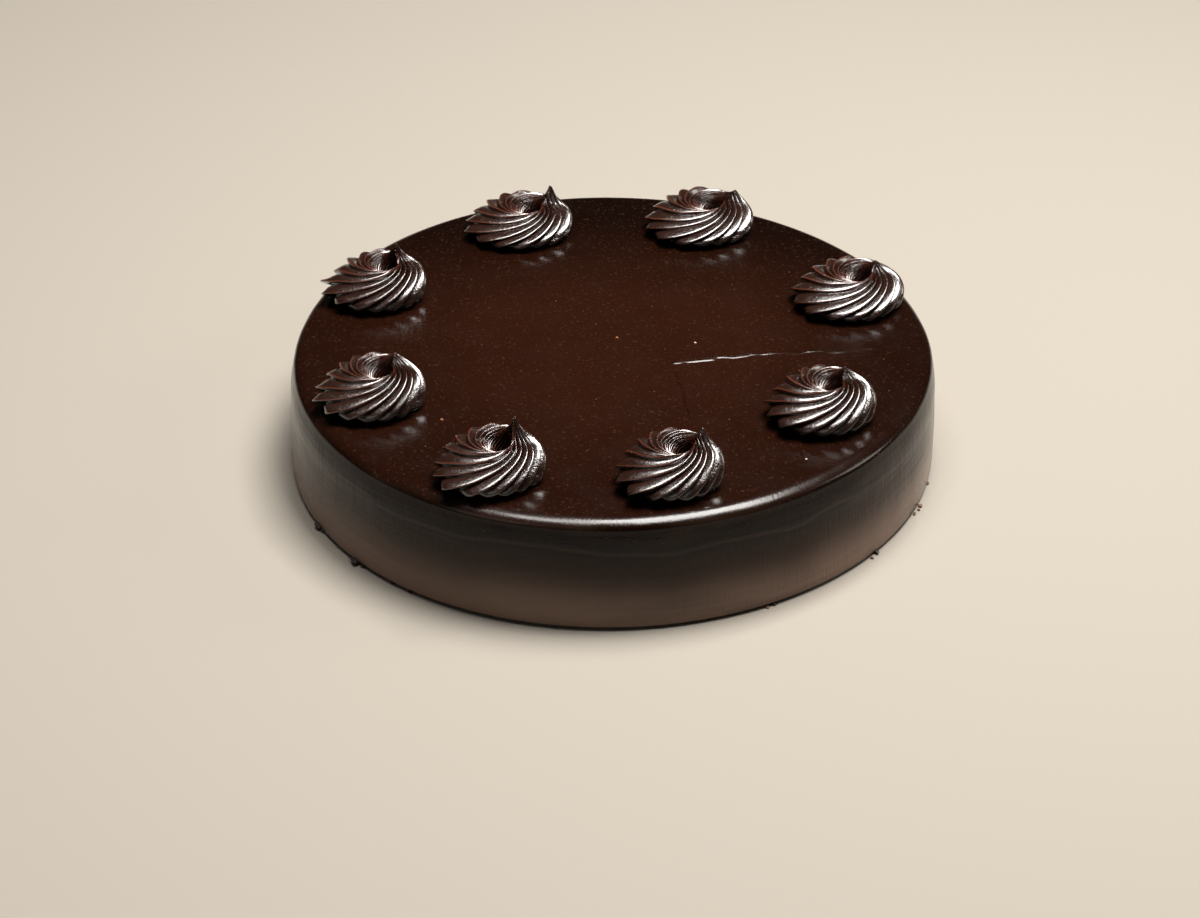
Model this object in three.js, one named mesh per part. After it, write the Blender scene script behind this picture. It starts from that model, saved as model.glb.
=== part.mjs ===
// A round chocolate truffle cake under a poured chocolate glaze, with eight piped ganache swirls
// standing in a ring on its top. Millimetres, +Z up. The origin is the centre of the flat
// underside, and -Y is the front. The cake is uncut, so it is one solid with its glaze, and each
// swirl is a solid of its own, piped with a star nozzle in one turn and pulled off in a peak.

import * as THREE from 'three';

// ---------- driving dimensions ----------

// the cake: an 8 inch sponge with a few millimetres of ganache and glaze around it
const TOP_RADIUS = 102.5;
const BASE_RADIUS = 104.9;
const CAKE_HEIGHT = 36.6;
const SHOULDER_ROUND = 6.5; // the glaze rolls over the top edge, gently at first ...
const SHOULDER_ANGLE = 35; // ... until it slopes down by this angle ...
const EDGE_ROUND = 2.3; // ... and then more tightly
const FOOT_ROUND = 0.9; // the glaze pulls in where it meets what the cake stands on
const SIDE_BELLY = 0.5; // how far the side stands out of a straight line, half way up
const SIDE_RING_LINE = 0.35; // a low line round the side, left by the ring the cake was set in
const RING_LINE_HEIGHT = 28.0;
const RING_LINE_WIDTH = 3.0;
// the cake is not quite round: [waves around, share of the radius, direction of the first crest]
const TOP_UNEVENNESS = [
  [2, 0.0085, 57.3],
  [3, 0.0055, -3.7],
];
const BASE_UNEVENNESS_SHARE = 0.7; // the foot is rounder than the top edge

// the swirls: sizes that all of them share. A share "along" a fin runs from 0 at its foot over
// the crest to 1 in the well. Directions are in degrees, from +X towards +Y.
const GAP = 0.3; // between a swirl's flat foot and the glaze
const FIN_DIRECTIONS = [-12, 20, 50, 79, 107, 134, 161, 189, 219, 247, 272, 296, 321];
const FIN_UNEVENNESS = 0.1; // of a fin's place, in fin widths
const FIN_SIZES = [0.8, 1.2]; // smallest and largest
const RELIEF = 2.8; // from the bottom of a groove to the edge of a fin
const RELIEF_ON_TOP = 0.9; // share of it that stands up where a fin crosses the crest
const FIN_EDGE = 0.72; // a fin rises over this share of its width and then drops steeply
const FIN_LEAN = 0.2; // how far an edge leans over the next groove, in fin widths
const LEAN_MIDDLE = 0.3; // what is lower than this share of the relief leans the other way
const LEAN_END = 0.7; // along: from here to the well the lean fades
const CREST_SHARE = 0.52; // radius of the crest as a share of the swirl's ...
const CREST_SWING = 0.18; // ... which is this much larger towards the back left
const CREST_SIDE = 125;
const WELL_SHARE = 0.22; // radius of the well's floor
const WELL_HEIGHT = 0.36; // height of the well's floor, as a share of the crest's
const WAIST_HEIGHT = 0.34; // height of the swirl's widest ring
const START_ANGLE = -38; // of the section, from the foot ...
const END_ANGLE = 180; // ... over the crest and down into the well
// powers that shape the section: the back is a steep wall, the front a long cone-like slope
const BACK_REACH_POWER = 0.7;
const FRONT_REACH_POWER = 2.4;
const WELL_REACH_POWER = 0.8;
const BACK_RISE_POWER = 0.62;
const FRONT_RISE_POWER = 1.05;
const FRONT_SIDE = -120;
const FRONT_SPAN = 75;
const PITCH = 2.1; // turn of the fins, in radians, as their radius falls by a factor e
const SIDE_TURN = 28; // degrees that the fins turn as they climb the side
const SIDE_END = 0.3; // along: the top of the side
const FOOT_TUCK = 0.14; // how far the foot pulls in under the widest ring
const FOOT_RELIEF = 0.55; // share of the relief that is left at the foot
const FOOT_END = 0.12; // along: the top of the foot
const FRONT_SMOOTHNESS = 0.55; // the fins stand out less on the front slope
const SLOPE_MIDDLE = 0.42;
const SLOPE_SPAN = 0.22;
const PARTING = 1.2; // the grooves are deeper where the rope's end lies beside its start
const PARTING_SIDE = 0;
const PARTING_SPREAD = 26;
const PARTING_MIDDLE = 0.3;
const PARTING_SPAN = 0.2;
const WELL_RELIEF = 0.3; // share of the relief that is left in the well
const WELL_START = 0.66;
const WELL_TURN = 80; // degrees more that the fins turn as they go down into the well
const WELL_SHIFT = [0.31, 0.17]; // the well's centre from the foot's, as shares of the radius
const TOOTH_SIZES = [0.6, 1.3]; // a fin's free end sticks out, smallest and largest
const TEETH_SPREAD = 46;
const TEETH_TURN = 20; // how far a fin has turned where its tooth is
const TOOTH_MIDDLE = 0.17;
const TOOTH_SPAN = 0.09;
const TOOTH_RISE = 0.25; // how much a tooth points up
const PEAK_PULL = 0.6; // how strongly the fins run together towards the peak
const PEAK_START = 0.2; // along: the peak is drawn out of the fins from here ...
const PEAK_FULL = 0.4;
const PEAK_FADING = 0.8;
const PEAK_END = 0.9; // ... to here
const DEPTH_SHARE = 0.91; // a swirl is less deep from front to back than it is wide
const TURN_ROUNDS = 6; // rounds in which a fin's turn settles

// each swirl: place of its foot's centre, outer radius, height of its crest, then its peak's
// height, width and place from the well, and the length and direction of its free teeth
const SWIRLS = [
  {
    at: [-32.6, 73.5], radius: 16.2, height: 7.8,
    peak: 6.5, peakWidth: 2.6, peakAt: [6.4, 4.0], tooth: 2.2, teethSide: 200,
  },
  {
    at: [29.3, 76.0], radius: 16.4, height: 8.3,
    peak: 3.3, peakWidth: 3.6, peakAt: [8.0, 3.0], tooth: 2.6, teethSide: 195,
  },
  {
    at: [76.6, 25.5], radius: 16.2, height: 9.0,
    peak: 3.2, peakWidth: 3.4, peakAt: [4.7, 3.0], tooth: 2.4, teethSide: 190,
  },
  {
    at: [63.1, -45.0], radius: 14.5, height: 10.7,
    peak: 3.0, peakWidth: 2.8, peakAt: [3.4, 4.4], tooth: 2.6, teethSide: 190,
  },
  {
    at: [16.4, -81.3], radius: 13.7, height: 11.1,
    peak: 4.6, peakWidth: 2.4, peakAt: [5.8, 2.9], tooth: 3.4, teethSide: 200,
  },
  {
    at: [-36.9, -78.6], radius: 14.6, height: 10.0,
    peak: 6.8, peakWidth: 3.4, peakAt: [3.5, 3.4], tooth: 2.8, teethSide: 205,
  },
  {
    at: [-74.9, -38.3], radius: 14.8, height: 10.2,
    peak: 3.1, peakWidth: 3.2, peakAt: [3.4, 5.2], tooth: 3.0, teethSide: 190,
  },
  {
    at: [-77.8, 28.5], radius: 14.8, height: 10.0,
    peak: 5.8, peakWidth: 3.2, peakAt: [2.2, 4.2], tooth: 3.4, teethSide: 175,
  },
];

// how finely each form is faceted
const CAKE_SEGMENTS = 96;
const EDGE_STEPS = 3;
const SHOULDER_STEPS = 3;
const SIDE_STEPS = 7;
// each fin has a column of points in its groove and one on its edge
const FIN_COLUMNS = [{ across: 0, ridge: 0 }, { across: FIN_EDGE, ridge: 1 }];
const SWIRL_RINGS = 24;
const RING_CROWDING = 0.08; // the rings stand closer over the crest, where the fins turn most
const CROWDING_SHIFT = 0.16;

// ---------- materials ----------

const glaze = new THREE.MeshStandardMaterial({ color: 0x25140f, roughness: 0.3, metalness: 0 });
const pipedGanache = new THREE.MeshStandardMaterial({ color: 0x2e1a14, roughness: 0.38, metalness: 0 });

// ---------- shared helpers ----------

const { degToRad: radians, lerp, smoothstep } = THREE.MathUtils;
const FULL_TURN = 2 * Math.PI;

function bell(distance, width) {
  return Math.exp(-((distance / width) ** 2));
}

// the smaller angle between two directions, in radians
function angleBetween(a, b) {
  return Math.atan2(Math.sin(a - b), Math.cos(a - b));
}

// draws evenly spread numbers from 0 to 1, always the same ones for the same swirl
const DRAW_SEED = 12345;
const DRAW_SEED_STEP = 7919;
const DRAW_FACTOR = 16807;
const DRAW_RANGE = 2147483647;
function drawsFrom(number) {
  let state = DRAW_SEED + DRAW_SEED_STEP * number;
  return () => {
    state = (state * DRAW_FACTOR) % DRAW_RANGE;
    return state / DRAW_RANGE;
  };
}

// a closed body from rings of points, lowest first, with a flat face over the first and last ring
function bodyFromRings(rings) {
  const around = rings[0].length;
  const positions = rings.flat().flatMap((point) => [point.x, point.y, point.z]);
  const faces = [];
  for (let ring = 0; ring < rings.length - 1; ring += 1) {
    for (let step = 0; step < around; step += 1) {
      const next = (step + 1) % around;
      const a = ring * around + step;
      const b = ring * around + next;
      const c = (ring + 1) * around + next;
      const d = (ring + 1) * around + step;
      faces.push(a, b, d, b, c, d);
    }
  }
  const addCap = (ring, facesUp) => {
    const middle = new THREE.Vector3();
    ring.forEach((point) => middle.addScaledVector(point, 1 / around));
    const centre = positions.length / 3;
    positions.push(middle.x, middle.y, middle.z);
    const first = facesUp ? (rings.length - 1) * around : 0;
    for (let step = 0; step < around; step += 1) {
      const a = first + step;
      const b = first + ((step + 1) % around);
      faces.push(...(facesUp ? [a, b, centre] : [b, a, centre]));
    }
  };
  addCap(rings[0], false);
  addCap(rings[rings.length - 1], true);
  const geometry = new THREE.BufferGeometry();
  geometry.setAttribute('position', new THREE.Float32BufferAttribute(positions, 3));
  geometry.setIndex(faces);
  geometry.computeVertexNormals();
  return geometry;
}

// ---------- the cake ----------

// the outline's radius in one direction, at a height from 0 (foot) to 1 (top)
function cakeRadius(angle, heightShare) {
  const round = lerp(BASE_RADIUS, TOP_RADIUS, heightShare);
  const uneven = lerp(BASE_UNEVENNESS_SHARE, 1, heightShare);
  let share = 0;
  for (const [waves, size, direction] of TOP_UNEVENNESS) {
    share += size * Math.cos(waves * (angle - radians(direction)));
  }
  return round * (1 + uneven * share);
}

// the section of the side and the top edge, as pairs of [how far in from the outline, height]
function cakeSection() {
  const section = [[FOOT_ROUND, 0], [0, FOOT_ROUND]];
  const shoulder = radians(SHOULDER_ANGLE);
  const sideTop = CAKE_HEIGHT - SHOULDER_ROUND * (1 - Math.cos(shoulder))
    - EDGE_ROUND * Math.cos(shoulder);
  for (let step = 1; step < SIDE_STEPS; step += 1) {
    const height = lerp(FOOT_ROUND, sideTop, step / SIDE_STEPS);
    const belly = SIDE_BELLY * Math.sin((Math.PI * height) / sideTop);
    const line = SIDE_RING_LINE * bell(height - RING_LINE_HEIGHT, RING_LINE_WIDTH);
    section.push([-belly - line, height]);
  }
  for (let step = 0; step <= EDGE_STEPS; step += 1) {
    const tilt = lerp(FULL_TURN / 4, shoulder, step / EDGE_STEPS);
    section.push([EDGE_ROUND * (1 - Math.sin(tilt)), sideTop + EDGE_ROUND * Math.cos(tilt)]);
  }
  const shoulderStart = EDGE_ROUND * (1 - Math.sin(shoulder)) + SHOULDER_ROUND * Math.sin(shoulder);
  for (let step = 1; step <= SHOULDER_STEPS; step += 1) {
    const tilt = shoulder * (1 - step / SHOULDER_STEPS);
    const inwards = shoulderStart - SHOULDER_ROUND * Math.sin(tilt);
    section.push([inwards, CAKE_HEIGHT - SHOULDER_ROUND * (1 - Math.cos(tilt))]);
  }
  return section;
}

function cakeGeometry() {
  const rings = cakeSection().map(([inwards, height]) => {
    const ring = [];
    for (let segment = 0; segment < CAKE_SEGMENTS; segment += 1) {
      const angle = (FULL_TURN * segment) / CAKE_SEGMENTS;
      const radius = cakeRadius(angle, height / CAKE_HEIGHT) - inwards;
      ring.push(new THREE.Vector3(radius * Math.cos(angle), radius * Math.sin(angle), height));
    }
    return ring;
  });
  return bodyFromRings(rings);
}

// ---------- a piped swirl ----------

// the fins of one swirl: each is a little out of its place, and larger or smaller than the next
function finsOf(swirl, number) {
  const draw = drawsFrom(number);
  return FIN_DIRECTIONS.map((direction, index) => {
    const next = FIN_DIRECTIONS[(index + 1) % FIN_DIRECTIONS.length];
    const width = radians((next - direction + 360) % 360);
    const start = radians(direction) + width * FIN_UNEVENNESS * (2 * draw() - 1);
    const size = lerp(...FIN_SIZES, draw());
    const toTeeth = angleBetween(start + radians(TEETH_TURN), radians(swirl.teethSide));
    const tooth = swirl.tooth * bell(toTeeth, radians(TEETH_SPREAD)) * lerp(...TOOTH_SIZES, draw());
    return { start, size, tooth };
  });
}

// the swirl's section in one direction: how far out it reaches, as a share of the radius, and its
// height, as a share of the crest's, and how much that direction counts as the front
function swirlSection(direction, section) {
  const front = bell(angleBetween(direction, radians(FRONT_SIDE)), radians(FRONT_SPAN));
  const crest = CREST_SHARE + CREST_SWING * Math.cos(direction - radians(CREST_SIDE));
  const cos = Math.cos(section);
  const sin = Math.sin(section);
  const inTheWell = cos < 0;
  const width = inTheWell ? crest - WELL_SHARE : 1 - crest;
  const power = inTheWell ? WELL_REACH_POWER : lerp(BACK_REACH_POWER, FRONT_REACH_POWER, front);
  const reach = crest + width * Math.sign(cos) * Math.abs(cos) ** power;
  const low = inTheWell ? WELL_HEIGHT : WAIST_HEIGHT;
  const rise = sin > 0 ? sin ** lerp(BACK_RISE_POWER, FRONT_RISE_POWER, front) : sin;
  return { reach, height: low + (1 - low) * rise, front };
}

// the direction of a place along a fin, which runs in a spiral: the further in it has come, the
// further it has turned. How far in it is depends on its direction, so that settles in rounds.
function spiralDirection(start, section, along) {
  const turned = radians(SIDE_TURN) * smoothstep(along, 0, SIDE_END)
    + radians(WELL_TURN) * smoothstep(along, WELL_START, 1);
  let direction = start + turned;
  for (let round = 0; round < TURN_ROUNDS; round += 1) {
    const reach = section > 0 ? swirlSection(direction, section).reach : 1;
    direction = (direction + start + turned + PITCH * Math.log(1 / reach)) / 2;
  }
  return direction;
}

// how high a fin stands out of its grooves, in one place along it
function finRelief(fin, along, direction, front) {
  const parting = bell(angleBetween(direction, radians(PARTING_SIDE)), radians(PARTING_SPREAD));
  return RELIEF * fin.size
    * lerp(FOOT_RELIEF, 1, smoothstep(along, 0, FOOT_END))
    * (1 - FRONT_SMOOTHNESS * front * bell(along - SLOPE_MIDDLE, SLOPE_SPAN))
    * (1 + PARTING * parting * bell(along - PARTING_MIDDLE, PARTING_SPAN))
    * lerp(1, WELL_RELIEF, smoothstep(along, WELL_START, 1));
}

// a point of the swirl, in the groove before a fin or on the fin's edge, from the foot's centre
function swirlPoint(swirl, fins, index, column, along) {
  const fin = fins[index];
  const nextStart = fins[(index + 1) % fins.length].start;
  const width = (nextStart - fin.start + FULL_TURN) % FULL_TURN;
  const section = radians(lerp(START_ANGLE, END_ANGLE, along));
  const unleaned = spiralDirection(fin.start + width * column.across, section, along);
  const fading = 1 - smoothstep(along, LEAN_END, 1);
  const lean = FIN_LEAN * smoothstep(along, 0, SIDE_END) * fading * (column.ridge - LEAN_MIDDLE);
  const direction = unleaned + width * lean;

  // the rope's body, tucked in at its foot, with the fin's relief and its free tooth on it
  const { reach, height: heightShare, front } = swirlSection(direction, section);
  const tuck = 1 - FOOT_TUCK * (1 - smoothstep(along, 0, FOOT_END));
  const relief = finRelief(fin, along, direction, front) * (column.ridge - 0.5);
  const tooth = fin.tooth * column.ridge * bell(along - TOOTH_MIDDLE, TOOTH_SPAN);
  const radius = swirl.radius * reach * tuck + relief * Math.cos(section) + tooth;
  const lift = RELIEF_ON_TOP * relief * Math.sin(section) + TOOTH_RISE * tooth;
  let height = Math.max(swirl.height * heightShare + lift, 0);

  // the rings drift from the foot's centre to the well's
  const wellX = swirl.radius * WELL_SHIFT[0];
  const wellY = swirl.radius * WELL_SHIFT[1];
  const drift = smoothstep(along, 0, 1);
  let x = wellX * drift + radius * Math.cos(direction);
  let y = wellY * drift + radius * Math.sin(direction);

  // the rope ends in a peak where the nozzle was pulled off
  const peakX = wellX + swirl.peakAt[0];
  const peakY = wellY + swirl.peakAt[1];
  const near = bell(Math.hypot(x - peakX, y - peakY), swirl.peakWidth)
    * smoothstep(along, PEAK_START, PEAK_FULL)
    * (1 - smoothstep(along, PEAK_FADING, PEAK_END));
  x = lerp(x, peakX, PEAK_PULL * near);
  y = lerp(y, peakY, PEAK_PULL * near);
  height += swirl.peak * near;
  return new THREE.Vector3(x, DEPTH_SHARE * y, along === 0 ? 0 : height);
}

function swirlGeometry(swirl, number) {
  const fins = finsOf(swirl, number);
  const rings = [];
  for (let step = 0; step < SWIRL_RINGS; step += 1) {
    const even = step / (SWIRL_RINGS - 1);
    const wave = Math.sin(FULL_TURN * (even - CROWDING_SHIFT));
    const along = even + RING_CROWDING * (wave + Math.sin(FULL_TURN * CROWDING_SHIFT));
    rings.push(fins.flatMap((fin, index) => (
      FIN_COLUMNS.map((column) => swirlPoint(swirl, fins, index, column, along))
    )));
  }
  return bodyFromRings(rings);
}

// ---------- the assembly ----------

const truffleCake = new THREE.Group();

const cake = new THREE.Mesh(cakeGeometry(), glaze);
cake.name = 'cake';
truffleCake.add(cake);

const swirlRing = new THREE.Group();
swirlRing.position.z = CAKE_HEIGHT + GAP;
SWIRLS.forEach((swirl, index) => {
  const mesh = new THREE.Mesh(swirlGeometry(swirl, index + 1), pipedGanache);
  mesh.name = `swirl_${index + 1}`;
  mesh.position.set(...swirl.at, 0);
  swirlRing.add(mesh);
});
truffleCake.add(swirlRing);

export default truffleCake;
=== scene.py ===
"""A round chocolate truffle cake under a poured glaze, with eight piped ganache swirls on its top."""

import math

import bpy
import numpy as np
from mathutils import Matrix, Vector, noise


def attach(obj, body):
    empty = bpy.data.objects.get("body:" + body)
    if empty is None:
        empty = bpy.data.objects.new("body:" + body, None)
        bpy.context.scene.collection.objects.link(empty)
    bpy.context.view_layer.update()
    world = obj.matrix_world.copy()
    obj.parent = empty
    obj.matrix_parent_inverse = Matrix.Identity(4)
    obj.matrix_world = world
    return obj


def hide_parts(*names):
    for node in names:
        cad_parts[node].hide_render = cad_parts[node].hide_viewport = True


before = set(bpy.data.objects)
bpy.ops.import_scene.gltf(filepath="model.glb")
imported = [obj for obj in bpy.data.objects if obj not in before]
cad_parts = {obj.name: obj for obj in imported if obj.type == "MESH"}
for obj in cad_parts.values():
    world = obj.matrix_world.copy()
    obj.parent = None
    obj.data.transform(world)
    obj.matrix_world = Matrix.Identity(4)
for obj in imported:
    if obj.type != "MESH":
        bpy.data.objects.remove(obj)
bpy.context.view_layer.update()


# ---------------------------------------------------------------------------
# Camera: a long lens that looks down on the cake from the front, with the small tilt of a camera
# held by hand. Its place was worked out from the cake's two outlines.
# ---------------------------------------------------------------------------

MM = 0.001
CAMERA_AIM = Vector((-3.61, -12.64, 0.0)) * MM
CAMERA_DISTANCE = 843.3 * MM
CAMERA_ELEVATION = math.radians(33.32)
CAMERA_TILT = math.radians(0.295)
CAMERA_LENS = 78.0
CAMERA_SENSOR = 36.0
NEAREST_SEEN = 10 * MM

bpy.ops.object.camera_add()
camera = bpy.context.object
camera.name = "camera"
camera.data.lens = CAMERA_LENS
camera.data.sensor_width = CAMERA_SENSOR
camera.data.clip_start = NEAREST_SEEN
looking_down = Matrix.Rotation(math.pi / 2 - CAMERA_ELEVATION, 4, "X")
back = looking_down.to_3x3() @ Vector((0, 0, 1))
camera.matrix_world = (
    Matrix.Translation(CAMERA_AIM + back * CAMERA_DISTANCE)
    @ looking_down
    @ Matrix.Rotation(CAMERA_TILT, 4, "Z")
)
bpy.context.scene.camera = camera


# ---------------------------------------------------------------------------
# Floor and light: a plain pale floor, a large soft light overhead, a little behind and to the
# right, a smaller one beside it on the left, one low on the right, and a weak fill from the front.
# ---------------------------------------------------------------------------

FLOOR_SIZE = 6.0
FLOOR_COLOUR = (0.19, 0.172, 0.146, 1.0)
FLOOR_ROUGHNESS = 0.9
LIGHTS = [
    # name, place, width, depth, power, colour
    ("overhead", (0.25, 0.13, 1.10), 0.54, 0.48, 42.0, (1.0, 0.97, 0.93)),
    ("overhead left", (-0.14, 0.02, 1.10), 0.28, 0.34, 9.0, (1.0, 0.97, 0.93)),
    ("right", (1.00, 0.10, 0.62), 0.35, 0.35, 3.0, (1.0, 0.96, 0.90)),
    ("fill", (-0.90, -1.10, 0.80), 0.80, 0.80, 1.5, (1.0, 0.98, 0.95)),
]
ROOM_COLOUR = (1.0, 0.88, 0.74, 1.0)
ROOM_STRENGTH = 0.03


def new_material(name, colour, roughness):
    """A material with one shader, and that shader."""
    material = bpy.data.materials.new(name)
    material.use_nodes = True
    shader = material.node_tree.nodes["Principled BSDF"]
    shader.inputs["Base Color"].default_value = colour
    shader.inputs["Roughness"].default_value = roughness
    return material, shader


def hang_light(name, place, width, depth, power, colour):
    """A rectangular soft light that faces the cake."""
    bpy.ops.object.light_add(type="AREA", location=place)
    light = bpy.context.object
    light.name = name
    light.data.shape = "RECTANGLE"
    light.data.size = width
    light.data.size_y = depth
    light.data.energy = power
    light.data.color = colour
    light.rotation_euler = (-Vector(place)).to_track_quat("-Z", "Y").to_euler()


bpy.ops.mesh.primitive_plane_add(size=FLOOR_SIZE)
floor = bpy.context.object
floor.name = "floor"
floor_material, _ = new_material("pale floor", FLOOR_COLOUR, FLOOR_ROUGHNESS)
floor.data.materials.append(floor_material)

for light in LIGHTS:
    hang_light(*light)

room = bpy.data.worlds.new("room")
room.use_nodes = True
room.node_tree.nodes["Background"].inputs["Color"].default_value = ROOM_COLOUR
room.node_tree.nodes["Background"].inputs["Strength"].default_value = ROOM_STRENGTH
bpy.context.scene.world = room
bpy.context.scene.view_settings.view_transform = "Standard"


# ---------------------------------------------------------------------------
# The cake: a sponge set in a ring, coated with ganache and covered with a poured dark glaze, which
# rolls over the top edge and ends in a thin round foot. It is drawn as one closed body, ring by
# ring from the foot to the middle of the top, and then made uneven.
# ---------------------------------------------------------------------------

TOP_RADIUS = 102.5 * MM
BASE_RADIUS = 104.9 * MM
CAKE_HEIGHT = 36.6 * MM
SHOULDER_ROUND = 6.5 * MM
SHOULDER_ANGLE = math.radians(35)
EDGE_ROUND = 2.3 * MM
FOOT_ROUND = 0.9 * MM
SIDE_BELLY = 0.5 * MM
RING_LINE = 0.35 * MM
RING_LINE_HEIGHT = 28.0 * MM
RING_LINE_WIDTH = 3.0 * MM
UNEVENNESS = ((2, 0.0085, 57.3), (3, 0.0055, -3.7))  # waves round the cake, size, direction
BASE_UNEVENNESS_SHARE = 0.7
SIDE_SWELLS = ((26 * MM, 0.25 * MM, 1), (7 * MM, 0.08 * MM, 2))  # length, height, seed
TOP_SWELLS = ((30 * MM, 0.10 * MM, 3), (6 * MM, 0.02 * MM, 4))
FOOT_STILL = 3 * MM
TOP_BAND_START = 1.6 * MM
TOP_BAND = 1.5 * MM
CAKE_SEGMENTS = 96
SIDE_STEPS = 10
EDGE_STEPS = 6
TOP_STEPS = 22
ROUNDING_LEVELS = 2
SEED_STEP = (17.3, -9.1, 5.7)
HAIR = 1e-6  # less than any size here


def ease(value):
    """0 below 0, 1 above 1, and a smooth rise between."""
    t = np.clip(value, 0.0, 1.0)
    return t * t * (3.0 - 2.0 * t)


def bell(distance, width):
    """1 at no distance, and a smooth fall to 0 on both sides."""
    return np.exp(-((distance / width) ** 2))


def vertices_of(piece):
    """The piece's points as an array of rows."""
    points = np.empty(len(piece.data.vertices) * 3)
    piece.data.vertices.foreach_get("co", points)
    return points.reshape(-1, 3)


def move_vertices(piece, points):
    piece.data.vertices.foreach_set("co", np.ascontiguousarray(points).ravel())
    piece.data.update()


def waviness(points, size, seed):
    """Smooth noise from -1 to 1 at each point, with lumps of about that size."""
    offset = Vector([step * seed for step in SEED_STEP])
    return np.array([noise.noise(Vector(p) / size + offset) for p in points])


def cake_section():
    """The side's section from the foot to the top, as pairs of radius and height."""
    edge_drop = EDGE_ROUND * math.cos(SHOULDER_ANGLE)
    shoulder_drop = SHOULDER_ROUND * (1 - math.cos(SHOULDER_ANGLE))
    side_top = CAKE_HEIGHT - edge_drop - shoulder_drop
    section = [(BASE_RADIUS - FOOT_ROUND, 0.0), (BASE_RADIUS, FOOT_ROUND)]
    for step in range(1, SIDE_STEPS):
        height = FOOT_ROUND + (side_top - FOOT_ROUND) * step / SIDE_STEPS
        straight = BASE_RADIUS + (TOP_RADIUS - BASE_RADIUS) * height / CAKE_HEIGHT
        belly = SIDE_BELLY * math.sin(math.pi * height / side_top)
        line = RING_LINE * bell(height - RING_LINE_HEIGHT, RING_LINE_WIDTH)
        section.append((straight + belly + line, height))
    edge_in = EDGE_ROUND * (1 - math.sin(SHOULDER_ANGLE))
    for step in range(EDGE_STEPS + 1):
        tilt = math.pi / 2 - (math.pi / 2 - SHOULDER_ANGLE) * step / EDGE_STEPS
        height = side_top + EDGE_ROUND * math.cos(tilt)
        section.append((TOP_RADIUS - EDGE_ROUND * (1 - math.sin(tilt)), height))
    for step in range(1, EDGE_STEPS + 1):
        tilt = SHOULDER_ANGLE * (1 - step / EDGE_STEPS)
        inwards = edge_in + SHOULDER_ROUND * (math.sin(SHOULDER_ANGLE) - math.sin(tilt))
        height = CAKE_HEIGHT - SHOULDER_ROUND * (1 - math.cos(tilt))
        section.append((TOP_RADIUS - inwards, height))
    return section


def draw_cake():
    """Draws the body from a disc, extruded up the side and in over the top, and rounds it."""
    section = cake_section()
    bpy.ops.object.select_all(action="DESELECT")
    bpy.ops.mesh.primitive_circle_add(
        vertices=CAKE_SEGMENTS, radius=section[0][0], fill_type="NGON"
    )
    cake = bpy.context.object
    cake.name = "glazed_cake"
    bpy.ops.object.mode_set(mode="EDIT")
    bpy.ops.mesh.select_mode(type="FACE")
    bpy.ops.mesh.select_all(action="SELECT")
    top_ring = section[-1][0]
    rings = section[1:]
    rings += [(top_ring * (1 - step / TOP_STEPS), CAKE_HEIGHT) for step in range(1, TOP_STEPS)]
    radius, height = section[0]
    for next_radius, next_height in rings:
        rise = {"value": (0, 0, next_height - height)}
        bpy.ops.mesh.extrude_region_move(TRANSFORM_OT_translate=rise)
        share = next_radius / radius
        bpy.ops.transform.resize(value=(share, share, 1), center_override=(0, 0, next_height))
        radius, height = next_radius, next_height
    bpy.ops.mesh.poke()
    bpy.ops.mesh.select_all(action="SELECT")
    bpy.ops.mesh.normals_make_consistent(inside=False)
    bpy.ops.object.mode_set(mode="OBJECT")
    rounding = cake.modifiers.new("rounding", "SUBSURF")
    rounding.levels = rounding.render_levels = ROUNDING_LEVELS
    bpy.ops.object.modifier_apply(modifier=rounding.name)
    bpy.ops.object.shade_smooth()
    return cake


def swelling(points, swells):
    """How far the skin swells at each point."""
    return sum(height * waviness(points, length, seed) for length, height, seed in swells)


def make_uneven(cake):
    """The cake isn't quite round, and its side and its top are a little wavy."""
    points = vertices_of(cake)
    angle = np.arctan2(points[:, 1], points[:, 0])
    height_share = points[:, 2] / CAKE_HEIGHT
    share = np.zeros(len(points))
    for waves, size, direction in UNEVENNESS:
        share += size * np.cos(waves * (angle - math.radians(direction)))
    share *= BASE_UNEVENNESS_SHARE + (1 - BASE_UNEVENNESS_SHARE) * height_share
    points[:, :2] *= (1 + share)[:, None]
    radius = np.hypot(points[:, 0], points[:, 1])
    is_top = ease((points[:, 2] - CAKE_HEIGHT + TOP_BAND_START) / TOP_BAND)
    is_side = ease(points[:, 2] / FOOT_STILL) * (1 - is_top)
    outwards = points[:, :2] / np.maximum(radius, HAIR)[:, None]
    points[:, :2] += outwards * (swelling(points, SIDE_SWELLS) * is_side)[:, None]
    points[:, 2] += is_top * swelling(points, TOP_SWELLS)
    move_vertices(cake, points)


TOP_COLOUR = (0.0094, 0.0025, 0.0010, 1.0)
# painted shade on the top towards the back, the rim and the right, and also the colour of its faint
# clouds
TOP_PAINTED_SHADE_AND_CLOUD_COLOUR = (0.0020, 0.0005, 0.0002, 1.0)
# painted dark reflection on the side, in a band under the edge
SIDE_PAINTED_DARK_REFLECTION_COLOUR = (0.0035, 0.0010, 0.0004, 1.0)
SIDE_MIDDLE_COLOUR = (0.0150, 0.0060, 0.0028, 1.0)
# a painted highlight line on the side; the side's faint clouds drift towards this colour too
SIDE_PAINTED_HIGHLIGHT_AND_CLOUD_COLOUR = (0.040, 0.024, 0.016, 1.0)
# painted reflection of the pale floor, low on the side
SIDE_LOW_PAINTED_REFLECTION_COLOUR = (0.185, 0.120, 0.090, 1.0)
SPECK_COLOUR = (0.22, 0.10, 0.055, 1.0)
GLAZE_ROUGHNESS = (0.17, 0.23)
GLAZE_SPECULAR = 0.2
NOISE_SPAN = (0.3, 0.7)  # where most of a noise node's values lie
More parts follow.
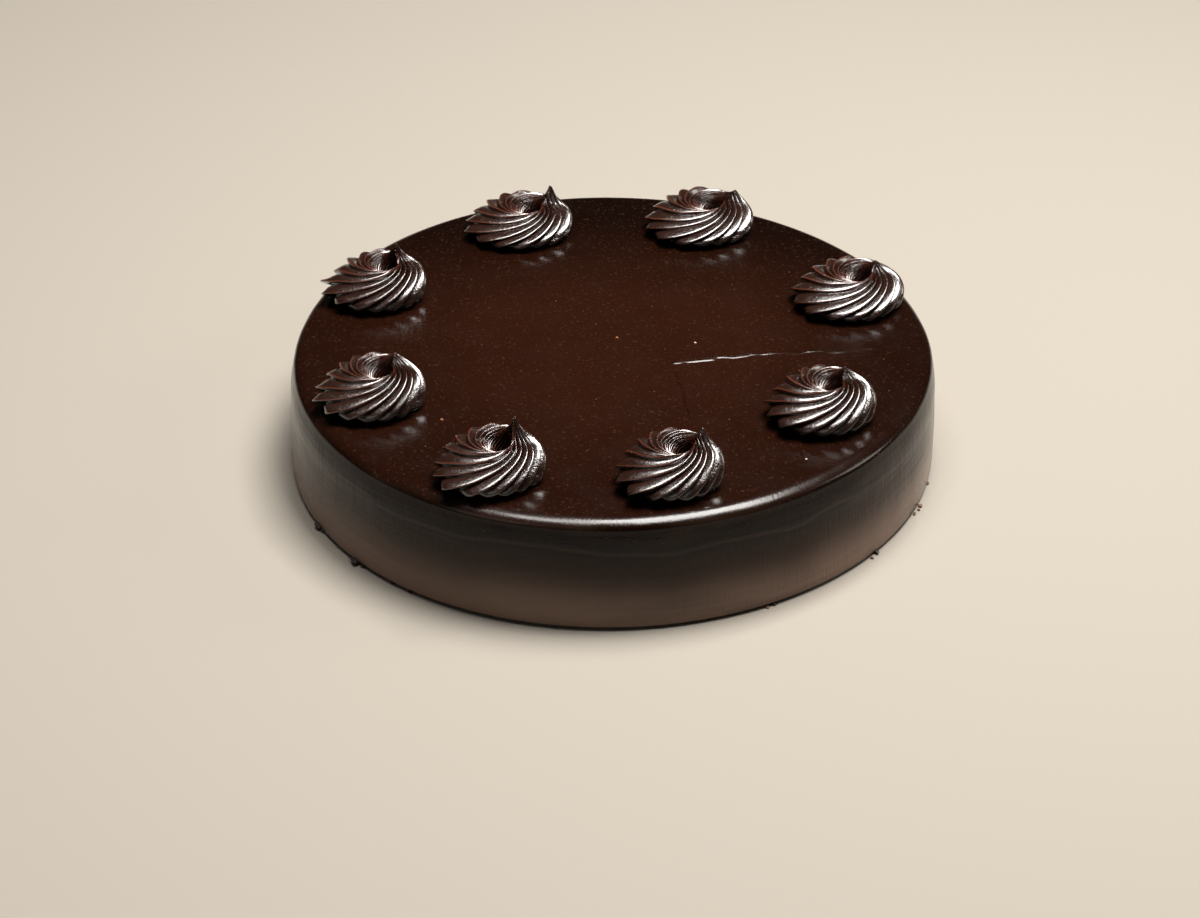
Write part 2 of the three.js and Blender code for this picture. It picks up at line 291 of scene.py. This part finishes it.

# where a change starts and ends on the cake or in a noise, and the shares it goes between
# the side's painted reflections and its painted highlight line, by height
PAINTED_REFLECTION_BAND = (1 * MM, 21 * MM)
PAINTED_DARK_REFLECTION_BAND = (21 * MM, 27 * MM)
PAINTED_HIGHLIGHT_BELOW = (25.6 * MM, 26.6 * MM, 0.0, 1.0)
PAINTED_HIGHLIGHT_ABOVE = (26.6 * MM, 28.0 * MM, 0.5, 0.0)
SIDE_CLOUDS = (0.45, 0.8, 0.0, 0.3)
SIDE_TO_TOP = (34.6 * MM, 36.2 * MM)
# where the top's painted shade deepens
DARKER_TO_BACK = (20 * MM, 95 * MM, 0.0, 0.55)
DARKER_TO_RIM = (45 * MM, 100 * MM, 0.0, 0.45)
DARKER_TO_RIGHT = (40 * MM, 100 * MM, 0.0, 0.2)
TOP_CLOUDS = (0.35, 0.75, 0.0, 0.15)
SPECK_EDGE = (0.025, 0.06, 1.0, 0.0)
SPECKED_CELLS = (0.35, 1.0, 0.0, 0.5)
GRAIN = (0.58, 0.78, 0.0, 0.09)
STREAKS_BELOW = (30 * MM, 35 * MM, 1.0, 0.0)
LINES_ABOVE = (35 * MM, 36 * MM)
RIDGE_FADES = ((0.0, 0.03, 0.0, 1.0), (0.15, 0.50, 1.0, 0.55), (0.75, 1.0, 1.0, 0.0))
RIDGE_GAPS = (0.35, 0.6, 0.75, 1.0)
CREASE_FADES = ((0.0, 0.2, 0.0, 1.0), (0.7, 1.0, 1.0, 0.0))

# sizes of the patterns
BAND_WAVE = 1.8 * MM
BAND_WAVE_LENGTH = 45 * MM
BAND_WAVE_STRETCH = (1, 1, 0.2)
SIDE_CLOUD_SIZE = 9 * MM
SIDE_CLOUD_STRETCH = (0.25, 0.25, 1)
TOP_CLOUD_SIZE = 34 * MM
ROUGHNESS_PATCH = 12 * MM
SPECK_CELL = 4.6 * MM
GRAIN_SIZE = 0.9 * MM
UPRIGHT_STREAKS = (1.1 * MM, (1, 1, 0.06), 0.10 * MM)  # size, stretch and depth
LEVEL_STREAKS = (1.6 * MM, (0.06, 0.06, 1), 0.16 * MM)
FINE_GRAIN = (0.8 * MM, 0.03 * MM)  # size and depth
LINE_SHAKE = 0.7 * MM
LINE_SHAKE_LENGTH = 7 * MM
RIDGE_START, RIDGE_END = (18.0, -12.4), (90.0, -4.1)
RIDGE_BOW = 1.8 * MM
RIDGE_HALF_WIDTH = 1.2 * MM
RIDGE_RELIEF = 0.46 * MM
RIDGE_GAP_SIZE = 9 * MM
CREASE_START, CREASE_END = (18.5, -13.0), (23.7, -52.0)
CREASE_BOW = 0.8 * MM
CREASE_HALF_WIDTH = 0.6 * MM
CREASE_RELIEF = -0.40 * MM


def add_node(material, kind, inputs=None, **settings):
    """A node of the material, with its settings, and each input set or linked."""
    node = material.node_tree.nodes.new(kind)
    for name, value in settings.items():
        setattr(node, name, value)
    for name, value in (inputs or {}).items():
        if isinstance(value, bpy.types.NodeSocket):
            material.node_tree.links.new(value, node.inputs[name])
        else:
            node.inputs[name].default_value = value
    return node


def link_to_shader(material, **values):
    """Links each value to the shader's input of that name, with _ for a space."""
    shader = material.node_tree.nodes["Principled BSDF"]
    for name, value in values.items():
        material.node_tree.links.new(value, shader.inputs[name.replace("_", " ")])


def patches(material, coordinates, size, detail=2.0):
    """Soft patches of about that size, as a value round 0.5."""
    inputs = {"Vector": coordinates, "Scale": 1 / size, "Detail": detail}
    return add_node(material, "ShaderNodeTexNoise", inputs).outputs["Fac"]


def stretched(material, coordinates, scale):
    inputs = {"Vector": coordinates, "Scale": scale}
    return add_node(material, "ShaderNodeMapping", inputs, vector_type="POINT").outputs["Vector"]


def ranged(material, value, low, high, to_low=0.0, to_high=1.0):
    """The value from low to high as a smooth rise or fall between two others."""
    inputs = {"Value": value, "From Min": low, "From Max": high, "To Min": to_low, "To Max": to_high}
    kind = "ShaderNodeMapRange"
    return add_node(material, kind, inputs, interpolation_type="SMOOTHSTEP").outputs["Result"]


def mixed(material, share, first, second):
    """A colour between two, each a colour or another node's: the mix node's inputs 6 and 7."""
    node = add_node(material, "ShaderNodeMix", {0: share, 6: first, 7: second}, data_type="RGBA")
    return node.outputs[2]


def worked_out(material, operation, first, second=0.0):
    """One step of arithmetic, such as ADD or MULTIPLY."""
    return add_node(material, "ShaderNodeMath", {0: first, 1: second}, operation=operation).outputs[0]


def product(material, first, second):
    return worked_out(material, "MULTIPLY", first, second)


def bumped(material, height, depth, normal=None):
    """The normal, raised by a height of 0 to 1 times the depth."""
    inputs = {"Height": height, "Distance": depth, "Strength": 1.0}
    if normal:
        inputs["Normal"] = normal
    return add_node(material, "ShaderNodeBump", inputs).outputs["Normal"]


def side_colour(glaze, place, height):
    """Painted reflections by height: a dark band under the edge is a painted dark reflection, with a
    thin lighter line as a painted highlight, then greyer and lighter to the foot as a painted
    reflection of the pale floor.
    """
    wave = patches(glaze, stretched(glaze, place, BAND_WAVE_STRETCH), BAND_WAVE_LENGTH)
    swing = ranged(glaze, wave, *NOISE_SPAN, -BAND_WAVE, BAND_WAVE)
    wavy_height = worked_out(glaze, "ADD", height, swing)
    # painted reflection of the pale floor, greyer and lighter towards the foot
    colour = mixed(glaze, ranged(glaze, wavy_height, *PAINTED_REFLECTION_BAND), SIDE_LOW_PAINTED_REFLECTION_COLOUR, SIDE_MIDDLE_COLOUR)
    # painted dark reflection in a band under the edge
    colour = mixed(glaze, ranged(glaze, wavy_height, *PAINTED_DARK_REFLECTION_BAND), colour, SIDE_PAINTED_DARK_REFLECTION_COLOUR)
    # a thin painted highlight line
    below_line = ranged(glaze, wavy_height, *PAINTED_HIGHLIGHT_BELOW)
    above_line = ranged(glaze, wavy_height, *PAINTED_HIGHLIGHT_ABOVE)
    colour = mixed(glaze, product(glaze, below_line, above_line), colour, SIDE_PAINTED_HIGHLIGHT_AND_CLOUD_COLOUR)
    # faint streaky clouds, drawn towards the colour of the highlight line
    clouds = patches(glaze, stretched(glaze, place, SIDE_CLOUD_STRETCH), SIDE_CLOUD_SIZE)
    return mixed(glaze, ranged(glaze, clouds, *SIDE_CLOUDS), colour, SIDE_PAINTED_HIGHLIGHT_AND_CLOUD_COLOUR)


def top_colour(glaze, place, across, depth):
    """Painted shade: a little darker towards the back, the rim and the right. Faintly cloudy as well.
    """
    from_middle = add_node(glaze, "ShaderNodeVectorMath", {0: place}, operation="LENGTH")
    # painted shade, darker towards the rim, the back and the right
    to_rim = ranged(glaze, from_middle.outputs["Value"], *DARKER_TO_RIM)
    darker = worked_out(glaze, "ADD", ranged(glaze, depth, *DARKER_TO_BACK), to_rim)
    darker = worked_out(glaze, "ADD", darker, ranged(glaze, across, *DARKER_TO_RIGHT))
    colour = mixed(glaze, darker, TOP_COLOUR, TOP_PAINTED_SHADE_AND_CLOUD_COLOUR)
    clouds = patches(glaze, place, TOP_CLOUD_SIZE)
    return mixed(glaze, ranged(glaze, clouds, *TOP_CLOUDS), colour, TOP_PAINTED_SHADE_AND_CLOUD_COLOUR)


def specked(glaze, place, colour):
    """Fine pale specks, one in some cells of a scattered grid, and a still finer grain."""
    cells = add_node(glaze, "ShaderNodeTexVoronoi", {"Vector": place, "Scale": 1 / SPECK_CELL})
    draw = add_node(glaze, "ShaderNodeSeparateColor", {0: cells.outputs["Color"]}).outputs[0]
    speck = ranged(glaze, cells.outputs["Distance"], *SPECK_EDGE)
    speck = product(glaze, speck, ranged(glaze, draw, *SPECKED_CELLS))
    colour = mixed(glaze, speck, colour, SPECK_COLOUR)
    grain = patches(glaze, place, GRAIN_SIZE, 3)
    return mixed(glaze, ranged(glaze, grain, *GRAIN), colour, SPECK_COLOUR)


def knife_streaks(glaze, place, height):
    """The glaze sets with a very fine grain, and the knife leaves streaks on the side."""
    on_side = ranged(glaze, height, *STREAKS_BELOW)
    normal = None
    for size, stretch, relief in (UPRIGHT_STREAKS, LEVEL_STREAKS):
        streaks = patches(glaze, stretched(glaze, place, stretch), size)
        normal = bumped(glaze, product(glaze, streaks, on_side), relief, normal)
    size, relief = FINE_GRAIN
    return bumped(glaze, patches(glaze, place, size), relief, normal)


def line_on_top(glaze, place, start, end, bow):
    """How far along a slightly bowed and shaken line on the top, and how far beside it."""
    way = Vector(end) - Vector(start)
    turn = {"Vector": place, "Location": (start[0] * MM, start[1] * MM, 0)}
    turn["Rotation"] = (0, 0, math.atan2(way.y, way.x))
    local = add_node(glaze, "ShaderNodeMapping", turn, vector_type="TEXTURE").outputs["Vector"]
    x, y, _ = add_node(glaze, "ShaderNodeSeparateXYZ", {0: local}).outputs
    share = product(glaze, x, 1 / (way.length * MM))
    rest = worked_out(glaze, "SUBTRACT", 1.0, share)
    beside = worked_out(glaze, "SUBTRACT", y, product(glaze, product(glaze, share, rest), 4 * bow))
    shaken = patches(glaze, place, LINE_SHAKE_LENGTH, 1)
    swing = ranged(glaze, shaken, *NOISE_SPAN, -LINE_SHAKE, LINE_SHAKE)
    return share, worked_out(glaze, "ABSOLUTE", worked_out(glaze, "ADD", beside, swing))


def knife_lines(glaze, place, height, normal):
    """A low ridge where the palette knife was lifted off, and one faint crease in the skin."""
    on_top = ranged(glaze, height, *LINES_ABOVE)
    share, beside = line_on_top(glaze, place, RIDGE_START, RIDGE_END, RIDGE_BOW)
    ridge = ranged(glaze, beside, 0.0, RIDGE_HALF_WIDTH, 1.0, 0.0)
    for fade in RIDGE_FADES:
        ridge = product(glaze, ridge, ranged(glaze, share, *fade))
    gaps = ranged(glaze, patches(glaze, place, RIDGE_GAP_SIZE), *RIDGE_GAPS)
    ridge = product(glaze, ridge, gaps)
    normal = bumped(glaze, product(glaze, ridge, on_top), RIDGE_RELIEF, normal)
    share, beside = line_on_top(glaze, place, CREASE_START, CREASE_END, CREASE_BOW)
    crease = ranged(glaze, beside, 0.0, CREASE_HALF_WIDTH, 1.0, 0.0)
    for fade in CREASE_FADES:
        crease = product(glaze, crease, ranged(glaze, share, *fade))
    return bumped(glaze, product(glaze, crease, on_top), CREASE_RELIEF, normal)


def pour_glaze():
    """The glaze's material, by place on the cake."""
    glaze, shader = new_material("dark glaze", TOP_COLOUR, GLAZE_ROUGHNESS[1])
    place = add_node(glaze, "ShaderNodeTexCoord").outputs["Object"]
    across, depth, height = add_node(glaze, "ShaderNodeSeparateXYZ", {0: place}).outputs
    side = side_colour(glaze, place, height)
    top = top_colour(glaze, place, across, depth)
    colour = specked(glaze, place, mixed(glaze, ranged(glaze, height, *SIDE_TO_TOP), side, top))
    rough = ranged(glaze, patches(glaze, place, ROUGHNESS_PATCH), *NOISE_SPAN, *GLAZE_ROUGHNESS)
    normal = knife_lines(glaze, place, height, knife_streaks(glaze, place, height))
    link_to_shader(glaze, Base_Color=colour, Roughness=rough, Normal=normal)
    shader.inputs["Specular IOR Level"].default_value = GLAZE_SPECULAR
    return glaze


cake = draw_cake()
make_uneven(cake)
cake.data.materials.clear()
cake.data.materials.append(pour_glaze())
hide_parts("cake")
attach(cake, "root")


# ---------------------------------------------------------------------------
# The swirls: dark ganache piped with a star nozzle in one turn and pulled off in a peak. The
# nozzle's teeth leave fins that climb the side, cross the crest in a spiral and run down into the
# well. Each is a sheet of points rolled up to a closed body, fins across and their length along.
# ---------------------------------------------------------------------------

SWIRLS = [
    # place, radius, crest height, peak's height, width and place from the well, teeth and their side
    ((-32.6, 73.5), 16.2, 7.8, 6.5, 2.6, (6.4, 4.0), 2.2, 200),
    ((29.3, 76.0), 16.4, 8.3, 3.3, 3.6, (8.0, 3.0), 2.6, 195),
    ((76.6, 25.5), 16.2, 9.0, 3.2, 3.4, (4.7, 3.0), 2.4, 190),
    ((63.1, -45.0), 14.5, 10.7, 3.0, 2.8, (3.4, 4.4), 2.6, 190),
    ((16.4, -81.3), 13.7, 11.1, 4.6, 2.4, (5.8, 2.9), 3.4, 200),
    ((-36.9, -78.6), 14.6, 10.0, 6.8, 3.4, (3.5, 3.4), 2.8, 205),
    ((-74.9, -38.3), 14.8, 10.2, 3.1, 3.2, (3.4, 5.2), 3.0, 190),
    ((-77.8, 28.5), 14.8, 10.0, 5.8, 3.2, (2.2, 4.2), 3.4, 175),
]
GAP = 0.3 * MM
DEPTH_SHARE = 0.91

# the rope's section: its crest, its waist and the well, as shares of the radius and the height
CREST_SHARE = 0.52
CREST_SWING = 0.18
CREST_SIDE = math.radians(125)
WELL_SHARE = 0.22
WELL_HEIGHT = 0.36
WELL_SHIFT = np.array((0.31, 0.17))
WAIST_HEIGHT = 0.34
START_ANGLE = math.radians(-38)
END_ANGLE = math.radians(180)
BACK_REACH_POWER = 0.7
FRONT_REACH_POWER = 2.4
WELL_REACH_POWER = 0.8
BACK_RISE_POWER = 0.62
FRONT_RISE_POWER = 1.05
FRONT_SIDE = math.radians(-120)
FRONT_SPAN = math.radians(75)
FOOT_TUCK = 0.14
FOOT_END = 0.12

# the fins: where they start, how they turn, and how high they stand
FIN_DIRECTIONS = (-12, 20, 50, 79, 107, 134, 161, 189, 219, 247, 272, 296, 321)
FINS = len(FIN_DIRECTIONS)
FIN_UNEVENNESS = 0.1
FIN_SIZES = (0.8, 1.2)
PITCH = 2.1
SIDE_TURN = math.radians(28)
SIDE_END = 0.3
WELL_TURN = math.radians(120)
WELL_START = 0.58
TURN_ROUNDS = 6
FIN_LEAN = 0.2
LEAN_MIDDLE = 0.3
LEAN_END = 0.7
RELIEF = 2.8 * MM
RELIEF_ON_TOP = 0.9
FOOT_RELIEF = 0.55
WELL_RELIEF = 0.8
FRONT_SMOOTHNESS = 0.7
SLOPE_MIDDLE = 0.42
SLOPE_SPAN = 0.22
PARTING = 1.2
PARTING_SIDE = math.radians(0)
PARTING_SPREAD = math.radians(26)
PARTING_MIDDLE = 0.3
PARTING_SPAN = 0.2

# across a fin: a hollow lip, a flat bar on the front slope, and a round cord on the right
FIN_EDGE = 0.72
EDGE_WIDTH = 0.07
FIN_HOLLOW = 1.5
FIN_DROP = 0.6
BAR_FLATNESS = 4
BAR_SIDE = math.radians(-140)
BAR_SPREAD = math.radians(70)
BAR_MIDDLE = 0.44
BAR_SPAN = 0.3
BAR_STRENGTH = 1.25
CORD_ROUNDNESS = 1.3
CORD_SIDE = math.radians(-35)
CORD_SPREAD = math.radians(60)
CORD_FADING = 0.6
CORD_END = 0.8

# the free teeth on the left, and the peak where the nozzle was pulled off
TOOTH_SIZES = (0.6, 1.3)
TEETH_SPREAD = math.radians(46)
TEETH_TURN = math.radians(20)
TOOTH_MIDDLE = 0.17
TOOTH_SPAN = 0.09
TOOTH_RISE = 0.25
PEAK_PULL = 0.6
PEAK_START = 0.2
PEAK_FULL = 0.4
PEAK_FADING = 0.8
PEAK_END = 0.9

COLUMNS = 12
RINGS = 120
MERGED = 0.01 * MM


def lerp(low, high, share):
    return low + (high - low) * share


def ramp(value, start, end):
    """0 before the start, 1 after the end, and a smooth rise between."""
    return ease((value - start) / (end - start))


def angle_between(a, b):
    """The turn from b to a, from minus half a turn to half a turn."""
    return np.arctan2(np.sin(a - b), np.cos(a - b))


def draws_from(number):
    """Evenly spread numbers from 0 to 1, always the same ones for the same swirl."""
    state = 12345 + 7919 * number
    while True:
        state = state * 16807 % 2147483647
        yield state / 2147483647


def fins_of(number, tooth_length, teeth_side):
    """Start, width, size and tooth of each fin: each is a little out of its place, large or small."""
    draw = draws_from(number)
    starts, sizes, teeth = [], [], []
    for index, direction in enumerate(FIN_DIRECTIONS):
        width = math.radians((FIN_DIRECTIONS[(index + 1) % FINS] - direction) % 360)
        start = math.radians(direction) + width * FIN_UNEVENNESS * (2 * next(draw) - 1)
        starts.append(start)
        sizes.append(lerp(*FIN_SIZES, next(draw)))
        to_teeth = angle_between(start + TEETH_TURN, math.radians(teeth_side))
        teeth.append(tooth_length * bell(to_teeth, TEETH_SPREAD) * lerp(*TOOTH_SIZES, next(draw)))
    following = starts[1:] + starts[:1]
    widths = [(after - start) % (2 * math.pi) for start, after in zip(starts, following)]
    return (np.array(values) for values in (starts, widths, sizes, teeth))


def swirl_section(direction, section):
    """How far out the section reaches, its height, both as shares, and how much it is the front."""
    cos, sin = np.cos(section), np.sin(section)
    in_the_well = cos < 0
    front = bell(angle_between(direction, FRONT_SIDE), FRONT_SPAN)
    crest = CREST_SHARE + CREST_SWING * np.cos(direction - CREST_SIDE)
    width = np.where(in_the_well, crest - WELL_SHARE, 1 - crest)
    side_power = lerp(BACK_REACH_POWER, FRONT_REACH_POWER, front)
    power = np.where(in_the_well, WELL_REACH_POWER, side_power)
    reach = crest + width * np.sign(cos) * np.abs(cos) ** power
    low = np.where(in_the_well, WELL_HEIGHT, WAIST_HEIGHT)
    rise_power = lerp(BACK_RISE_POWER, FRONT_RISE_POWER, front)
    rise = np.where(sin > 0, np.abs(sin) ** rise_power, sin)
    return reach, low + (1 - low) * rise, front


def spiral_direction(start, section):
    """A fin runs in a spiral: the further in it has come, the further it has turned."""
    spiral = start
    for _ in range(TURN_ROUNDS):
        reach = np.where(section > 0, swirl_section(spiral, section)[0], 1.0)
        spiral = (spiral + start + PITCH * np.log(1 / reach)) / 2
    return spiral


def fin_profile(across, along, spiral):
    """The height across a fin, from 0 to 1: it rises slowly and drops steeply, where it is a lip."""
    rising = np.clip(across / FIN_EDGE, 0, 1)
    falling = np.clip((1 - across) / (1 - FIN_EDGE), 0, 1)
    lip = np.where(across <= FIN_EDGE, rising**FIN_HOLLOW, falling**FIN_DROP)
    bar = 1 - np.abs(2 * across - 1) ** BAR_FLATNESS
    cord = np.sin(np.pi * across) ** CORD_ROUNDNESS
    on_slope = bell(angle_between(spiral, BAR_SIDE), BAR_SPREAD) * bell(along - BAR_MIDDLE, BAR_SPAN)
    profile = lerp(lip, bar, ease(BAR_STRENGTH * on_slope))
    on_right = bell(angle_between(spiral, CORD_SIDE), CORD_SPREAD)
    return lerp(profile, cord, on_right * (1 - ramp(along, CORD_FADING, CORD_END)))


def fin_relief(profile, size, direction, along, front):
    """How far the fin stands off the rope's body."""
    relief = RELIEF * size * (profile - 0.5)
    relief *= lerp(FOOT_RELIEF, 1, ramp(along, 0, FOOT_END))
    relief *= 1 - FRONT_SMOOTHNESS * front * bell(along - SLOPE_MIDDLE, SLOPE_SPAN)
    parting = bell(angle_between(direction, PARTING_SIDE), PARTING_SPREAD)
    relief *= 1 + PARTING * parting * bell(along - PARTING_MIDDLE, PARTING_SPAN)
    return relief * lerp(1, WELL_RELIEF, ramp(along, WELL_START, 1))


def swirl_points(swirl, number, fin_place, along):
    """Points of one swirl. fin_place counts the fins round it, and along runs up over the crest."""
    place, radius, height, peak, peak_width, peak_at, tooth_length, teeth_side = swirl
    radius, height, peak, peak_width = (value * MM for value in (radius, height, peak, peak_width))
    starts, widths, sizes, teeth = fins_of(number, tooth_length * MM, teeth_side)
    fin = np.floor(fin_place + HAIR).astype(int) % FINS
    across = np.clip(fin_place - np.floor(fin_place + HAIR), 0, 1)

    section = lerp(START_ANGLE, END_ANGLE, along)
    start = starts[fin] + widths[fin] * across + SIDE_TURN * ramp(along, 0, SIDE_END)
    spiral = spiral_direction(start + WELL_TURN * ramp(along, WELL_START, 1), section)
    profile = fin_profile(across, along, spiral)
    lean = FIN_LEAN * ramp(along, 0, SIDE_END) * (1 - ramp(along, LEAN_END, 1))
    direction = spiral + widths[fin] * lean * (profile - LEAN_MIDDLE)

    # the rope's body, tucked in at its foot, with the fin's relief and its free tooth on it
    reach, height_share, front = swirl_section(direction, section)
    relief = fin_relief(profile, sizes[fin], direction, along, front)
    tooth = teeth[fin] * profile**2 * bell(along - TOOTH_MIDDLE, TOOTH_SPAN)
    tuck = 1 - FOOT_TUCK * (1 - ramp(along, 0, FOOT_END))
    out = radius * reach * tuck + relief * np.cos(section) + tooth
    up = height * height_share + RELIEF_ON_TOP * relief * np.sin(section) + TOOTH_RISE * tooth
    up = np.where(along == 0, 0, np.maximum(up, 0))

    # the rings drift to the well's centre, and the rope ends in a peak
    well = radius * WELL_SHIFT
    drift = ramp(along, 0, 1)
    x = well[0] * drift + out * np.cos(direction)
    y = well[1] * drift + out * np.sin(direction)
    peak_x, peak_y = well + np.array(peak_at) * MM
    near = bell(np.hypot(x - peak_x, y - peak_y), peak_width)
    near *= ramp(along, PEAK_START, PEAK_FULL) * (1 - ramp(along, PEAK_FADING, PEAK_END))
    x = place[0] * MM + lerp(x, peak_x, PEAK_PULL * near)
    y = place[1] * MM + DEPTH_SHARE * lerp(y, peak_y, PEAK_PULL * near)
    points = np.stack([x, y, CAKE_HEIGHT + GAP + up + peak * near], axis=-1)
    return points, profile, bell(across - FIN_EDGE, EDGE_WIDTH)


def pipe_swirl(swirl, number):
    """Rolls a grid up into one swirl, closes its seam, its foot and its well, and smooths it."""
    bpy.ops.object.select_all(action="DESELECT")
    bpy.ops.mesh.primitive_grid_add(x_subdivisions=FINS * COLUMNS, y_subdivisions=RINGS, size=1)
    piece = bpy.context.object
    piece.name = f"piped_swirl_{number}"
    grid = vertices_of(piece) + 0.5
    points, profile, edge = swirl_points(swirl, number, grid[:, 0] * FINS, np.clip(grid[:, 1], 0, 1))
    move_vertices(piece, points)
    for name, values in (("fin_height", profile), ("fin_edge", edge)):
        piece.data.attributes.new(name, "FLOAT", "POINT").data.foreach_set("value", values)
    bpy.ops.object.mode_set(mode="EDIT")
    bpy.ops.mesh.select_mode(type="VERT")
    bpy.ops.mesh.select_all(action="SELECT")
    bpy.ops.mesh.remove_doubles(threshold=MERGED)
    bpy.ops.mesh.select_all(action="DESELECT")
    bpy.ops.mesh.select_non_manifold()
    bpy.ops.mesh.edge_face_add()
    bpy.ops.mesh.select_all(action="SELECT")
    bpy.ops.mesh.normals_make_consistent(inside=False)
    bpy.ops.object.mode_set(mode="OBJECT")
    bpy.ops.object.shade_smooth()
    return piece


GANACHE_COLOUR = (0.0110, 0.0036, 0.0020, 1.0)
# painted shade down in the grooves between the fins
GANACHE_PAINTED_GROOVE_SHADE_COLOUR = (0.0040, 0.0012, 0.0007, 1.0)
# painted glow of light shining through the thin fin edges
GANACHE_PAINTED_EDGE_GLOW_COLOUR = (0.0900, 0.0220, 0.0100, 1.0)
GROOVE_UP_TO = 0.45
EDGE_FROM = 0.3
GANACHE_ROUGHNESS = (0.18, 0.28)
GANACHE_PATCH = 3 * MM
GANACHE_SHINE = {
    "Specular IOR Level": 0.5,
    "Coat Weight": 0.9,
    "Coat IOR": 1.58,
    "Coat Roughness": 0.17,
}
GANACHE_LUMPS = (2.2 * MM, 0.12 * MM)  # size and depth
GANACHE_GRAIN = (0.5 * MM, 0.15 * MM)


def ganache_material():
    """Painted light and shade: thin edges are painted lighter and redder, as light shining through
    them, and the grooves are painted darker, as shade. The ganache is a little grainy.
    """
    ganache, shader = new_material("piped ganache", GANACHE_COLOUR, GANACHE_ROUGHNESS[1])
    place = add_node(ganache, "ShaderNodeTexCoord").outputs["Object"]
    height = add_node(ganache, "ShaderNodeAttribute", attribute_name="fin_height").outputs["Fac"]
    edge = add_node(ganache, "ShaderNodeAttribute", attribute_name="fin_edge").outputs["Fac"]
    out_of_groove = ranged(ganache, height, 0.0, GROOVE_UP_TO)
    # painted shade: darker down in the grooves
    colour = mixed(ganache, out_of_groove, GANACHE_PAINTED_GROOVE_SHADE_COLOUR, GANACHE_COLOUR)
    # painted glow: lighter and redder along the thin fin edges
    colour = mixed(ganache, ranged(ganache, edge, EDGE_FROM, 1.0), colour, GANACHE_PAINTED_EDGE_GLOW_COLOUR)
    rough = ranged(ganache, patches(ganache, place, GANACHE_PATCH), *NOISE_SPAN, *GANACHE_ROUGHNESS)
    normal = None
    for size, relief in (GANACHE_LUMPS, GANACHE_GRAIN):
        normal = bumped(ganache, patches(ganache, place, size), relief, normal)
    link_to_shader(ganache, Base_Color=colour, Roughness=rough, Normal=normal)
    for name, value in GANACHE_SHINE.items():
        shader.inputs[name].default_value = value
    return ganache


ganache = ganache_material()
for number, swirl in enumerate(SWIRLS, start=1):
    piece = pipe_swirl(swirl, number)
    piece.data.materials.clear()
    piece.data.materials.append(ganache)
    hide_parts(f"swirl_{number}")
    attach(piece, "root")


# ---------------------------------------------------------------------------
# The crumbs: bits of sponge and ganache that stick to the foot of the cake, and four that fell on
# the glaze while it set. Each is a small lump, pressed out of round, half sunk where it lies.
# ---------------------------------------------------------------------------

CRUMBS = {
    # kind: places with the height of the middle, and sizes, in millimetres
    "dark": [
        ((-90.7, -52.6, 0.9), 1.5), ((-89.4, -54.3, 0.6), 0.9), ((-77.7, -71.2, 0.9), 1.4),
        ((-75.8, -72.9, 0.6), 0.8), ((-66.0, -81.5, 0.7), 1.0), ((-60.1, -86.4, 0.5), 0.8),
        ((81.6, -64.6, 0.5), 0.8), ((48.7, -91.4, 0.4), 0.7),
    ],
    "brown": [
        ((101.2, -26.2, 0.5), 0.6), ((97.6, -39.0, 0.4), 0.6), ((96.9, -41.2, 0.3), 0.4),
        ((95.4, -43.3, 0.4), 0.5), ((80.0, -67.4, 0.3), 0.5), ((46.6, -93.2, 0.3), 0.5),
    ],
    "orange": [((1.7, 2.6, 36.7), 0.45), ((-52.0, -47.0, 36.7), 0.4)],
    "pale": [((26.7, -0.3, 36.7), 0.35), ((58.0, -68.0, 36.7), 0.38)],
}
CRUMB_COLOURS = {
    "dark": (0.010, 0.004, 0.0025, 1.0),
    "brown": (0.10, 0.045, 0.022, 1.0),
    "orange": (0.20, 0.060, 0.020, 1.0),
    "pale": (0.30, 0.26, 0.22, 1.0),
}
CRUMB_ROUGHNESS = 0.7
CRUMB_ROUNDS = 3
LUMP_LENGTH = 0.9  # as a share of the crumb's size, as is the next
LUMP_HEIGHT = 0.9
LUMP_SEED = 8
FLATTENING = np.array((1, 1, 0.6))
LOWEST = 0.02 * MM


def press_crumb(centre, radius):
    """A ball, pressed flat and lumpy, that stays above the floor."""
    bpy.ops.mesh.primitive_ico_sphere_add(subdivisions=CRUMB_ROUNDS, radius=radius, location=centre)
    bpy.ops.object.transform_apply(location=True, rotation=False, scale=False)
    crumb = bpy.context.object
    points = vertices_of(crumb)
    lumpy = 1 + LUMP_HEIGHT * waviness(points, LUMP_LENGTH * radius, LUMP_SEED)[:, None]
    pressed = np.array(centre) + (points - np.array(centre)) * lumpy * FLATTENING
    pressed[:, 2] = np.maximum(pressed[:, 2], LOWEST)
    move_vertices(crumb, pressed)
    return crumb


for kind, places in CRUMBS.items():
    bpy.ops.object.select_all(action="DESELECT")
    pressed_crumbs = [press_crumb(Vector(place) * MM, size * MM) for place, size in places]
    for crumb in pressed_crumbs:
        crumb.select_set(True)
    bpy.ops.object.join()
    crumbs = bpy.context.object
    crumbs.name = f"{kind}_crumbs"
    bpy.ops.object.shade_smooth()
    crumb_material, _ = new_material(f"{kind} crumb", CRUMB_COLOURS[kind], CRUMB_ROUGHNESS)
    crumbs.data.materials.clear()
    crumbs.data.materials.append(crumb_material)
    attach(crumbs, "root")
